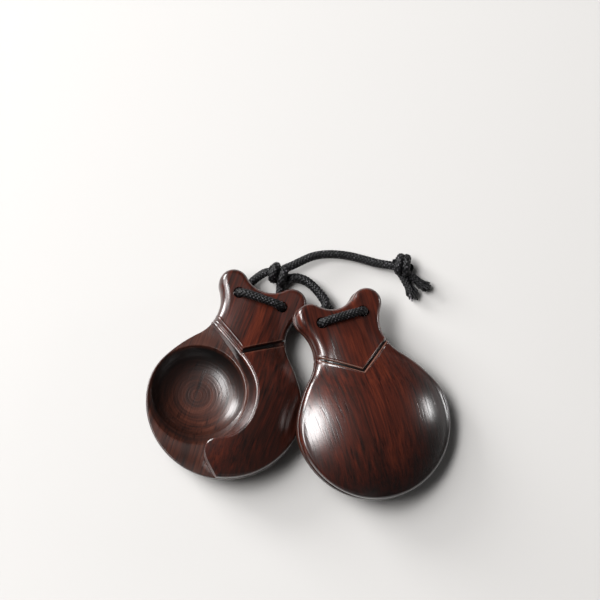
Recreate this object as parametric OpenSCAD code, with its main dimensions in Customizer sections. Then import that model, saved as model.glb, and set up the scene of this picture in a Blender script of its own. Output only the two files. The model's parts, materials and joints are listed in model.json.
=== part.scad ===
// A pair of castanets tied by one braided cord, lying on a flat surface.
// Each castanet is two wooden shells. The left one's front shell is cut away over the bowl.
// Shell frame: X to the right, Y towards the ears, Z out of the inner face, origin at the
// centre of the round body. The pair stands on Z = 0 under the middle of the four shells.

/* [Shell outline] */
// Radius of the round body
body_r = 33.3; // [30:0.1:38]
// Radius of the flank above the widest point
flank_r = 24; // [22:0.5:28]
// Radius of the flat shoulder that runs up to the neck
shoulder_r = 58; // [50:1:64]
// Radius of the hollow of the neck
neck_r = 16; // [14:0.5:18]
// Radius of an ear
ear_r = 6.3; // [5.6:0.1:7]
// Distance of an ear's centre from the middle line
ear_x = 12.9; // [11.5:0.1:14]
// Distance of the ears' centres above the body's centre
ear_y = 48.3; // [45:0.1:52]
// Lowest point of the notch between the ears
notch_y = 49.2; // [47:0.1:50.5]

/* [Shell thickness] */
// Thickness of one shell at the middle of its dome
shell_t = 13; // [12:0.1:15]
// Thickness of the rim at the foot of the body
rim_t = 2.8; // [2.4:0.1:3.6]
// Thickness of the ears
ear_t = 5.2; // [4.6:0.1:5.8]
// Radius across the ridge of the neck
ridge_r = 30; // [26:1:40]
// Gap between the two inner faces where they meet
seat_gap = 0.3; // [0.2:0.05:0.5]
// Depth by which each rim is relieved, so that the shells meet at the neck and the foot only
rim_relief = 0.5; // [0.3:0.05:0.8]
// Length of the foot pad that is left proud of the relief
foot_pad = 4; // [3:0.5:6]
// Slope of the ears' inner faces above the cord holes, in degrees
ear_bevel = 6.5; // [6.5:0.1:8]

/* [Bowls] */
// Radius of the right castanet's bowls
bowl_r = 20.5; // [18:0.5:23]
// Depth of every bowl
bowl_d = 8; // [6:0.1:8.4]
// Radius of the left castanet's off-centre bowl
side_bowl_r = 19.8; // [17:0.1:20]
// Width of the lip left between that bowl and the left edge
side_lip = 1.3; // [1.3:0.1:2.5]

/* [Groove and cut] */
// Height of the groove's point above the body's centre
groove_y = 20.4; // [19:0.1:23]
// Height of the groove's ends
groove_end_y = 31.4; // [30:0.1:33]
// Half the distance between the groove's ends
groove_end_x = 16.2; // [15.5:0.1:18]
// Radius of the groove
groove_r = 1.1; // [0.8:0.1:1.4]
// Widening of the cut from the bowl's rim to the top of the front shell
cut_flare = 4; // [2:0.5:5]

/* [Cord] */
// Diameter of the cord
cord_d = 3.8; // [3.2:0.1:3.9]
// Distance of a cord hole from the middle line
hole_x = 9.5; // [9:0.1:10.2]
// Height of the cord holes, which is where the shells hinge
hole_y = 45; // [44:0.1:46]
// Diameter of the cord holes
hole_d = 5.2; // [4.9:0.1:5.4]
// Radius of the main knot
knot_r = 5.5; // [5:0.1:5.6]
// Radius of the knot near the loose end
end_knot_r = 4.6; // [4.2:0.1:5]
// Clearance between the cord and the ear's face that it crosses
lace_gap = 0.45; // [0.35:0.05:0.8]

/* [Hidden] */

// How each castanet is turned about X, Y and Z
left_turn = [-3, 2.5, -17.5];
right_turn = [4.4, 14, 20.3];
// How far the left castanet's body reaches to the right of the pair's own zero
left_reach = 3.7;
// How far below the pair's own zero the centres of the bodies lie
left_drop = 3;
right_drop = 10.4;
// Clearance between the left rim's edge line and the right castanet's dome that leans over it
lean_gap = 0;
// Shift that brings the middle of the four shells over the origin
pair_shift = [-1.17, -4.85, 0];

// Where the arcs of the body's outline hand over, in degrees
flank_from = -8;
flank_to = 27;
// Clearance cut past a face, so that no two faces of a cut coincide
past = 1;
cord_r = cord_d / 2;
half_gap = seat_gap / 2;
cap_h = shell_t - rim_t;
dome_r = (body_r * body_r + cap_h * cap_h) / (2 * cap_h);
tip_y = ear_y + ear_r;
side_bowl_x = body_r - side_bowl_r - side_lip;
// Widening of the left back shell's cord holes, so that it swings clear of the cord
swing_flare = 3.4;
// Depth by which the main knot is pressed flat where it rests
knot_flat = 0.3;
// How deep the tail starts inside the main knot
knot_grip = 0.494;
cord_sides = 8;
// Direction that a cord's first cross-section starts from
first_side = [0.3, 0.2, 1];

wood = [0.36, 0.13, 0.09];
wood_inside = [0.30, 0.17, 0.12];
black_cord = [0.10, 0.10, 0.11];

function unit(v) = v / norm(v);
function along(angle) = [cos(angle), sin(angle)];
function arc(centre, r, from, to, steps) =
    [for (i = [0:steps]) centre + r * along(from + (to - from) * i / steps)];
function heading(v) = atan2(v[1], v[0]);

// Centre of the arc that rolls on two circles, on the right of the line from the first to the second
function rolling_centre(c1, d1, c2, d2) =
    let (span = norm(c2 - c1), unit = (c2 - c1) / span)
    let (a = (d1 * d1 - d2 * d2 + span * span) / (2 * span))
    c1 + a * unit + sqrt(d1 * d1 - a * a) * [unit[1], -unit[0]];

flank_c = (body_r - flank_r) * along(flank_from);
shoulder_c = flank_c + (flank_r - shoulder_r) * along(flank_to);
ear_c = [ear_x, ear_y];
neck_c = rolling_centre(shoulder_c, shoulder_r + neck_r, ear_c, ear_r + neck_r);
notch_rise = notch_y - ear_y;
notch_r = (ear_x * ear_x + notch_rise * notch_rise - ear_r * ear_r) / (2 * (ear_r - notch_rise));
notch_c = [0, notch_y + notch_r];
shoulder_to = heading(neck_c - shoulder_c);
neck_to = heading(ear_c - neck_c);
ear_to = heading(notch_c - ear_c);

// Each arc after the first starts this many degrees past the point where the one before it ended
flank_step = 5;
shoulder_step = 3;
neck_step = 10;
right_side = concat(
    arc([0, 0], body_r, -90, flank_from, 14),
    arc(flank_c, flank_r, flank_from + flank_step, flank_to, 6),
    arc(shoulder_c, shoulder_r, flank_to + shoulder_step, shoulder_to, 5),
    arc(neck_c, neck_r, shoulder_to + 180 - neck_step, neck_to, 7),
    arc(ear_c, ear_r, neck_to - 180 + neck_step, ear_to, 15),
    arc(notch_c, notch_r, ear_to - 180 - neck_step, -90, 4));
outline = concat(right_side,
    [for (i = [len(right_side) - 2:-1:1]) [-right_side[i][0], right_side[i][1]]]);

// Edge of the tongue that the cut leaves at the foot, from the foot up to the bowl
tongue_foot = [4, 2 - body_r];
tongue = [for (p = [[-0.5, 3.3], [-2.8, 6.8], [-3.6, 9.8], [-3.4, 12.3], [-2.2, 14.3]])
    [p[0], p[1] - body_r]];

// Height of the dome over the middle line
function dome_z(y) = shell_t - dome_r + sqrt(dome_r * dome_r - y * y);
ridge_slope = atan((dome_z(groove_y) - ear_t) / (ear_y - groove_y));

// Turns and moves a point from a castanet's own frame
function turned_x(p, a) = [p[0], p[1] * cos(a) - p[2] * sin(a), p[1] * sin(a) + p[2] * cos(a)];
function turned_y(p, a) = [p[0] * cos(a) + p[2] * sin(a), p[1], p[2] * cos(a) - p[0] * sin(a)];
function turned_z(p, a) = [p[0] * cos(a) - p[1] * sin(a), p[0] * sin(a) + p[1] * cos(a), p[2]];
function turned(p, turn) = turned_z(turned_y(turned_x(p, turn[0]), turn[1]), turn[2]);
// Height of a castanet's middle plane when its dome lies on the surface
function lying_z(turn) = dome_r - (dome_r - shell_t - half_gap) * cos(turn[0]) * cos(turn[1]);
function centre(at, turn) = [at[0], at[1], lying_z(turn)];

// The right castanet's dome touches down right of its body's centre and leans over the left rim
left_at = [left_reach - body_r, -left_drop];
left_edge_z = lying_z(left_turn) + half_gap + (rim_t + ear_t) / 2 - body_r * sin(left_turn[1]);
dome_reach = sqrt(dome_r * dome_r - (dome_r - left_edge_z) * (dome_r - left_edge_z));
dome_foot = (dome_r - shell_t - half_gap) * turned([0, 0, 1], right_turn);
foot_drop = left_drop - right_drop + dome_foot[1];
foot_span = body_r + dome_reach + lean_gap;
right_x = left_at[0] + sqrt(foot_span * foot_span - foot_drop * foot_drop) - dome_foot[0];
// Laid to the nearest tenth of a millimetre
right_at = [round(10 * right_x) / 10, -right_drop];

function placed(points, at, turn) = [for (p = points) centre(at, turn) + turned(p, turn)];

// The cord's route. In a castanet's own frame a point is given from its hole: the side, how far
// outwards and upwards of the hole's centre it lies, and its height over the middle plane.
function by_hole(side, out, up, z) = [side * (hole_x + out), hole_y + up, z];
front_z = ear_t + half_gap + cord_r + lace_gap;
back_z = -front_z - lace_gap;
function over_ear(side) = [by_hole(side, 0, 0, front_z - 3.7), by_hole(side, -0.2, 0, front_z - 1.3),
    by_hole(side, -2.5, 0, front_z)];
function flipped(points) = [for (i = [len(points) - 1:-1:0]) points[i]];
front_run = concat(over_ear(-1), [[0, hole_y, front_z + 0.4]], flipped(over_ear(1)));
left_own = concat(
    [by_hole(-1, -0.5, 4.2, back_z - 0.65), by_hole(-1, -0.1, 1.8, back_z - 0.05)],
    [by_hole(-1, 0, 0, back_z + 1.95)], front_run, [by_hole(1, 0, 0, back_z + 1.95)],
    [by_hole(1, -0.1, 1.8, back_z + 0.15), by_hole(1, -0.5, 4, back_z - 0.05)]);
left_start = [[-14.2, 53.8, 4.6], [-17.4, 52.6, 3.4]];
left_end = [[-7.8, 43.8, 2.3], [-7.8, 46.9, 3.1]];
// The right castanet's cord is parted at its middle plane, because its two shells open apart
lace_foot = 0.8;
loop_top = -0.3;
right_own_front = concat([by_hole(-1, 0, 0, lace_foot)], front_run, [by_hole(1, 0, 0, lace_foot)]);
function behind_ear(side, up) = [by_hole(side, -2.5, up, back_z - 0.25),
    by_hole(side, -0.5, 0.6, back_z + 0.35), by_hole(side, 0, 0, back_z + 2.75),
    by_hole(side, 0, 0, loop_top)];
right_own_a = behind_ear(-1, 2);
right_own_b = behind_ear(1, 2.5);
right_start_a = [[-1.5, 52.4, 5.9], [1.8, 51.6, 6.2], [5.2, 49.4, 6.6],
    [8.8, 45.6, 7.2], [11.6, 41.4, 7.8]];
right_start_b = [[-1.6, 51, 2.2], [1.6, 50.6, 2.1], [5.2, 48.6, 2.1],
    [8.8, 45, 2.4], [12, 41, 3]];
knot_at = [-7.7, 53.3, knot_r - knot_flat];
tail_from = knot_at + (knot_r - knot_grip) * unit([3.9, 2.9, 1.2]);
tail_route = [tail_from, [0.4, 59, 6.4], [5, 61.3, 6], [10, 62.7, 5], [16, 63.1, 4],
    [22, 62.6, 3.2], [27.4, 61.4, 3], [33, 59.9, 3.4], [39, 58.8, 4.2]];
end_knot_at = [43.2, 58.4, end_knot_r];
// Each frayed end: its root, its tip and the radius at each
frays = [
    [[44.6, 56.6, 3.6], [56.2, 48.6, 2.6], 1.6, 2.4],
    [[44, 55, 3], [49.4, 43.8, 2.5], 1.5, 2.3]];

// A solid of the shell's outline between its inner face and its outer surface
module shell_blank() {
    intersection() {
        linear_extrude(shell_t + past) polygon(outline);
        union() {
            translate([0, 0, shell_t - dome_r]) sphere(dome_r, $fn = 160);
            rim_wedge();
            neck_ridge();
        }
    }
}

// The rim, which thickens from the foot to the ears
module rim_wedge() {
    side = [[-body_r - past, 0], [tip_y + past, 0], [tip_y + past, ear_t],
        [groove_end_y, ear_t], [-body_r - past, rim_t]];
    side_slab(side);
}

// Extrudes a side view, drawn in Y and Z, across the whole shell
module side_slab(side) {
    translate([-body_r - past, 0, 0])
        rotate([90, 0, 90])
            linear_extrude(2 * (body_r + past)) polygon(side);
}

// The convex ridge that runs from the dome down to the ears
module neck_ridge() {
    reach = ear_y - groove_y;
    translate([0, ear_y, ear_t - ridge_r / cos(ridge_slope)])
        rotate([90 - ridge_slope, 0, 0])
            translate([0, 0, -reach / 2])
                cylinder(r = ridge_r, h = reach * 1.5 + ridge_r * sin(ridge_slope), $fn = 120);
}

// A straight round rod between two points
module rod(from, to, r1, r2) {
    run = to - from;
    translate(from)
        rotate([0, acos(run[2] / norm(run)), heading(run)])
            cylinder(r1 = r1, r2 = r2, h = norm(run), $fn = 32);
}

// The V groove that parts the neck from the dome
module v_groove() {
    lift = groove_r / 2;
    for (side = [-1, 1]) {
        point = [0, groove_y, dome_z(groove_y) + lift];
        end = [side * groove_end_x, groove_end_y, ear_t + lift];
        rod(point, end + (end - point) / 4, groove_r, groove_r);
    }
}

module bowl(at, r) {
    ball_r = (r * r + bowl_d * bowl_d) / (2 * bowl_d);
    translate([at, 0, bowl_d - ball_r]) sphere(ball_r, $fn = 120);
}

// Takes the relief off the inner face and the bevel off the ears, and drills the cord holes
module inner_cuts() {
    foot = -body_r + foot_pad;
    neck = groove_y + 6;
    side_slab([[foot, -past], [neck, -past], [neck, rim_relief], [foot, rim_relief]]);
    rise = (tip_y + past - hole_y) * tan(ear_bevel);
    side_slab([[hole_y, -past], [tip_y + past, -past], [tip_y + past, rise], [hole_y, 0]]);
    for (side = [-1, 1])
        translate([side * hole_x, hole_y, -past])
            cylinder(d = hole_d, h = shell_t, $fn = 48);
}

// One whole shell with its bowl, lifted off the middle plane by half the seat gap
module shell(bowl_at, r) {
    translate([0, 0, half_gap])
        difference() {
            shell_blank();
            v_groove();
            bowl(bowl_at, r);
            inner_cuts();
        }
}

// The part of the left front shell that is cut away: the bowl's place and all to the left of it
module side_cut() {
    top = shell_t + past;
    flare = cut_flare / dome_z(groove_y);
    cut_y = groove_y - groove_r;
    far_left = -body_r - ear_x;
    rise = (groove_end_y - groove_y) / groove_end_x;
    above = [[0, cut_y], [far_left, cut_y - rise * far_left], [far_left, 0]];
    below = [[-body_r, -body_r - past], [tongue_foot[0], -body_r - past], tongue_foot];
    inside = [[-side_bowl_x, -side_bowl_r / 2], [-side_bowl_x, side_bowl_r / 2]];
    translate([-side_bowl_x, 0, -past])
        cylinder(r1 = side_bowl_r - flare * past, r2 = side_bowl_r + flare * top,
            h = top + past, $fn = 120);
    translate([0, 0, -past])
        linear_extrude(top + past) polygon(concat(above, below, tongue, inside));
}

module place(at, turn) {
    translate(pair_shift + centre(at, turn)) rotate(turn) children();
}

// The left front shell has no bowl of its own, because the cut takes the bowl's place
module left_front_shell() {
    color(wood)
        place(left_at, left_turn)
            translate([0, 0, half_gap])
                difference() {
                    shell_blank();
                    v_groove();
                    inner_cuts();
                    side_cut();
                }
}

// The left back shell swings under the cord, so its holes widen towards its outer face
module left_back_shell() {
    color(wood_inside)
        place(left_at, left_turn)
            difference() {
                mirror([0, 0, 1]) shell(-side_bowl_x, side_bowl_r);
                for (side = [-1, 1])
                    translate([side * hole_x, hole_y, -ear_t - half_gap - past])
                        cylinder(d1 = hole_d + swing_flare, d2 = hole_d, h = ear_t + past, $fn = 48);
            }
}

module right_front_shell() {
    color(wood)
        place(right_at, right_turn) shell(0, bowl_r);
}

module right_back_shell() {
    color(wood_inside)
        place(right_at, right_turn) mirror([0, 0, 1]) shell(0, bowl_r);
}

// Direction of a route at a point, and a side that is carried along it without twisting
function facing(points, i) =
    unit(points[min(i + 1, len(points) - 1)] - points[max(i - 1, 0)]);
function carried(side, to) = unit(side - (side * to) * to);
function sides_along(points, i = 0, side = first_side) =
    i == len(points) ? [] :
    let (now = carried(side, facing(points, i)))
    concat([now], sides_along(points, i + 1, now));
function ring(point, side, to) =
    let (up = cross(to, side))
    [for (k = [0:cord_sides - 1])
        point + cord_r * (cos(360 * k / cord_sides) * side + sin(360 * k / cord_sides) * up)];

// A tube of the cord's size through a route's points
module tube(points) {
    n = cord_sides;
    sides = sides_along(points);
    rings = [for (i = [0:len(points) - 1]) each ring(points[i], sides[i], facing(points, i))];
    walls = [for (i = [0:len(points) - 2]) for (k = [0:n - 1])
        [i * n + k, i * n + (k + 1) % n, (i + 1) * n + (k + 1) % n, (i + 1) * n + k]];
    first = [for (k = [n - 1:-1:0]) k];
    last = [for (k = [0:n - 1]) (len(points) - 1) * n + k];
    translate(pair_shift) polyhedron(rings, concat([first], walls, [last]));
}

// From the main knot behind the left ears, up one hole, across the front and back down
module left_lace() {
    color(black_cord)
        tube(concat(left_start, placed(left_own, left_at, left_turn), left_end));
}

module right_lace() {
    color(black_cord)
        tube(placed(right_own_front, right_at, right_turn));
}

// The two strands from the main knot behind the right ears into the holes
module right_loop() {
    color(black_cord) {
        tube(concat(right_start_a, placed(right_own_a, right_at, right_turn)));
        tube(concat(right_start_b, placed(right_own_b, right_at, right_turn)));
    }
}

// A knot that rests on the surface with a small flat
module knot(at, r) {
    translate(pair_shift)
        intersection() {
            translate(at) sphere(r, $fn = 64);
            translate([at[0] - 2 * r, at[1] - 2 * r, 0]) cube(4 * r);
        }
}

module main_knot() {
    color(black_cord) knot(knot_at, knot_r);
}

module tail() {
    color(black_cord) tube(tail_route);
}

module end_knot() {
    color(black_cord) knot(end_knot_at, end_knot_r);
}

module frayed_ends() {
    color(black_cord)
        translate(pair_shift)
            for (fray = frays) rod(fray[0], fray[1], fray[2], fray[3]);
}

left_front_shell();
left_back_shell();
right_front_shell();
right_back_shell();
left_lace();
right_lace();
right_loop();
main_knot();
tail();
end_knot();
frayed_ends();
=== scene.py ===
# A pair of rosewood castanets tied by one black braided cord, lying on a pale table.
import json
import math
import bpy
import numpy as np
from mathutils import Euler, Matrix, Quaternion, Vector


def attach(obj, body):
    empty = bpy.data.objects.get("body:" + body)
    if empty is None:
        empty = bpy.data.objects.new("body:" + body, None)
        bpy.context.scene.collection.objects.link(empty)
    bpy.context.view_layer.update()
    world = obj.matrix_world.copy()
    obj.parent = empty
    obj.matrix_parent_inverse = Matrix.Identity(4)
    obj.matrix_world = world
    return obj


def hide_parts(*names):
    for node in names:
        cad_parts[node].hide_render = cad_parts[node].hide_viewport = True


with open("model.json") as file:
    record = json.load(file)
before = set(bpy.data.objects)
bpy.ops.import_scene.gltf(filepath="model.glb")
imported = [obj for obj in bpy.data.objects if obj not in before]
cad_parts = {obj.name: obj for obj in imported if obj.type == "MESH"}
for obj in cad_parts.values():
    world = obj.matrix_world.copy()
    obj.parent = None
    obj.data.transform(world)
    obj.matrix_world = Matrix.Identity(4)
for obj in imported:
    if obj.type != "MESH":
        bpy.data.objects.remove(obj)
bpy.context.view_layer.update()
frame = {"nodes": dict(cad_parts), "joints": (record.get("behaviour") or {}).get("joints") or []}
jointOf = {j["name"]: j for j in frame["joints"]}
mm = 0.001
print("frame loaded:", len(frame["nodes"]), "CAD nodes")


def turnOf(degrees):
    return Euler([math.radians(a) for a in degrees], "XYZ")


def linear(hexColour):
    # sRGB hex to the linear values that sockets take
    parts = [int(hexColour[i:i + 2], 16) / 255 for i in (1, 3, 5)]
    return [c / 12.92 if c <= 0.04045 else ((c + 0.055) / 1.055) ** 2.4 for c in parts] + [1.0]


def addNode(tree, kind, settings=None, inputs=None):
    # adds one node, with its settings, its plain values and its links; a node that is given as
    # an input stands for its first output
    node = tree.nodes.new(kind)
    for name, value in (settings or {}).items():
        setattr(node, name, value)
    for key, value in (inputs or {}).items():
        if isinstance(value, bpy.types.Node):
            value = value.outputs[0]
        if isinstance(value, bpy.types.NodeSocket):
            tree.links.new(value, node.inputs[key])
        else:
            node.inputs[key].default_value = value
    return node


def newMaterial(name):
    material = bpy.data.materials.new(name)
    material.use_nodes = True
    material.node_tree.nodes.clear()
    return material, material.node_tree


def newTree(name, sockets):
    # an empty Geometry Nodes tree with named inputs, and the sockets that give them
    tree = bpy.data.node_groups.new(name, "GeometryNodeTree")
    face = tree.interface
    face.new_socket("Geometry", in_out="OUTPUT", socket_type="NodeSocketGeometry")
    for label, kind in [("Geometry", "Geometry")] + sockets + [("Finish", "Material")]:
        face.new_socket(label, in_out="INPUT", socket_type="NodeSocket" + kind)
    return tree, addNode(tree, "NodeGroupInput").outputs


def endTree(tree, shape, given):
    # a plain, smooth mesh in the material that the tree was given
    smooth = addNode(tree, "GeometryNodeSetShadeSmooth", {}, {0: shape})
    real = addNode(tree, "GeometryNodeRealizeInstances", {}, {0: smooth})
    coated = addNode(tree, "GeometryNodeSetMaterial", {}, {0: real, "Material": given["Finish"]})
    addNode(tree, "NodeGroupOutput", {}, {0: coated})
    return tree


def meshObject(name, points, faces, edges=()):
    mesh = bpy.data.meshes.new(name)
    mesh.from_pydata([tuple(p) for p in points], list(edges), [tuple(f) for f in faces])
    made = bpy.data.objects.new(name, mesh)
    bpy.context.scene.collection.objects.link(made)
    return made


def settled(obj, material=None):
    # the object's evaluated shape as its own plain mesh, with no modifier left
    evaluated = obj.evaluated_get(bpy.context.evaluated_depsgraph_get())
    mesh = bpy.data.meshes.new_from_object(evaluated)
    mesh.name = obj.name
    obj.modifiers.clear()
    old = obj.data
    obj.data = mesh
    bpy.data.meshes.remove(old)
    if material:
        mesh.materials.clear()
        mesh.materials.append(material)


def remove(obj):
    data = obj.data
    bpy.data.objects.remove(obj)
    bpy.data.meshes.remove(data)


pair = {
    "leftTurn": (-3, 2.5, -17.5),   # degrees about X, Y and Z
    "rightTurn": (4.4, 14, 20.3),
    "holeUp": 45,                   # height of the cord holes over a body's centre, mm
    "shift": (-1.17, -4.85, 0),     # brings the cord's points into the frame, mm
}


def castanetFrame(turn, hinge):
    spin = turnOf(turn).to_matrix()
    centre = Vector(jointOf[hinge]["pos_m"]) - spin @ Vector((0, pair["holeUp"] * mm, 0))
    return Matrix.Translation(centre) @ spin.to_4x4()


leftFrame = castanetFrame(pair["leftTurn"], "left_shell_hinge")
rightFrame = castanetFrame(pair["rightTurn"], "right_shell_hinge")


def placed(points, place):
    # a castanet's own points, in mm, to the row frame, in metres
    spin, centre = np.array(place.to_3x3()), np.array(place.translation)
    return np.asarray(points, float) * mm @ spin.T + centre


camera = {
    "aim": (-0.45, 36.81, 10),   # mm
    "elevation": 78,
    "roll": 1.3,                 # degrees
    "distance": 1.6,             # metres
    "across": 0.2537,            # metres that the view takes in at the aim
    "sensor": 36,
}


def makeCamera():
    data = bpy.data.cameras.new("camera")
    made = bpy.data.objects.new("camera", data)
    scene = bpy.context.scene
    scene.collection.objects.link(made)
    up = math.radians(camera["elevation"])
    back = Vector((0, -math.cos(up), math.sin(up)))
    made.location = Vector(camera["aim"]) * mm + back * camera["distance"]
    made.rotation_mode = "QUATERNION"
    made.rotation_quaternion = (-back).to_track_quat("-Z", "Y") @ Quaternion(
        (0, 0, 1), math.radians(camera["roll"]))
    data.sensor_width = camera["sensor"]
    data.lens = camera["sensor"] * camera["distance"] / camera["across"]
    data.clip_start, data.clip_end = 0.05, 20
    scene.camera = made


makeCamera()
print("camera made")


# the wooden shells, in mm
shell = {
    "body": 33.3, "flank": 24, "shoulder": 58, "neck": 16,   # radii of the outline's arcs
    "earRadius": 6.3, "earOut": 12.9, "earUp": 48.3, "notchUp": 49.2,
    "flankFrom": -8, "flankTo": 27,                          # degrees
    "thick": 13, "rim": 2.8, "earThick": 5.2, "ridge": 30,
    "seatGap": 0.3, "footPad": 4, "earBevel": 6.5,
    "relief": 0.5, "reliefUp": 26.4,         # how deep, and where it ends at the neck
    "reliefEase": {"foot": (5, 0.3), "neck": (6, 0.5)},   # its slopes' length, and their share
    "grooveUp": 20.4, "grooveEndUp": 31.4, "grooveEndOut": 16.2,
    "groove": {"left": (1.4, 1.5), "right": (0.75, 0.7)},   # half width and depth
    "bead": 0.16,            # the raised edge beside the groove
    "soft": 1.6,             # width over which two carved surfaces run together
    "innerEdge": 0.45,       # rounding of the inner face's edge
    # rounding of the outer edge: at the foot, then what the body, the neck and its left side add
    "outerEdge": (1.15, 0.35, 0.7, 1.7),
    "sharpFrom": 32,         # degrees between two faces from which their edge stays sharp
    "holeOut": 9.5, "holeUp": 45, "hole": 4.5,
    "swingHole": (5.6, 3.4),   # the left back shell's: its width, and how much wider it gets
    "columns": 40, "innerColumns": 12,
    "below": -1.5, "sides": 180,   # where cutters begin under a shell, and their roundness
}
armSlope = (shell["grooveEndUp"] - shell["grooveUp"]) / shell["grooveEndOut"]
armAngle = math.atan(armSlope)


# Rosewood, carved and polished: dark red-brown heartwood with fine near-black lines along the
# grain, small open pores that break up the shine, and a thin clear gloss with soft highlights.
wood = {
    "bend": 0.0035,       # metres that the grain lines wander
    "line": 0.0006,       # metres between the fine lines
    "ring": 0.0006,       # metres between the turning marks of a bowl
    "band": 0.0065,       # metres between light and dark bands
    "pore": 0.0004,       # metres between pores; coarser than the real 0.15 mm, to show
    "stretch": 26,        # how much longer than wide the grain's marks are
    "bandShare": 0.42,    # the bands' part in the tone; the fine lines have the rest
    "ringShare": 0.5,     # the turning marks' part in it, inside the bowls
    "stops": (0.36, 0.44, 0.53, 0.64),   # where the four tones lie, dark to light
    "veinTone": "#5f4a44",
    "poreTone": "#7a6258",
    "rimShadeTone": "#54413b",    # painted shade, darker towards the rim on the foot's side, away from the light
    "bowlShadeTone": "#342a26",   # painted shade on the bowl's wall
    "wornHighlightTone": "#8a6a5c",   # pale wear on the groove's edges, and a painted highlight line there
    "grooveShadeTone": "#1c1412",   # painted shade in the carved V, with dust
    # the bowls, in mm: between which heights over the middle plane, how far from their middle,
    # and where beside it, and over which distances, painted shade darkens the bowl's wall
    "bowlHeights": (0.8, 2.2, 7.6, 8.2), "bowlReach": (22.6, 23.2),
    "unshadedSpot": (4, -5), "unshadedReach": (4, 25),
    "rimShadeSpot": (-0.3, 0.3), "rimShadeReach": (0.6, 1.45),   # the same for the painted shade at the rim, in body radii
    "footSide": 22,       # mm above the body's middle where the painted rim shade has gone
    "bump": 0.3, "bumpDepth": 0.00006,   # strength, and metres
}
# how each finish looks: tones from dark to light, roughness, clear coat and IOR
polish = {"tones": ("#1a0905", "#2c110a", "#3e170e", "#532214"),
          "rough": 0.32, "coat": 0.9, "coatRough": 0.18, "ior": 1.4}
oil = {"tones": ("#180b08", "#2a140e", "#391b12", "#4a281d"),
       "rough": 0.4, "coat": 0.6, "coatRough": 0.24, "ior": 1.3}
# what marks each castanet, mm: half the groove's width, from where across its shade is painted,
# how much of its edge shows pale wear and a painted highlight, the bowl's place, and the painted
# rim shade
leftMarks = {"half": 1.2, "from": -99, "wearAndHighlight": 0.5, "bowlOut": -12.2, "rimShade": 0.35}
leftFrontMarks = {**leftMarks, "from": -0.6, "wearAndHighlight": 0.12}
rightMarks = {"half": 0.5, "from": -99, "wearAndHighlight": 0.5, "bowlOut": 0, "rimShade": 1.0}


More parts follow.
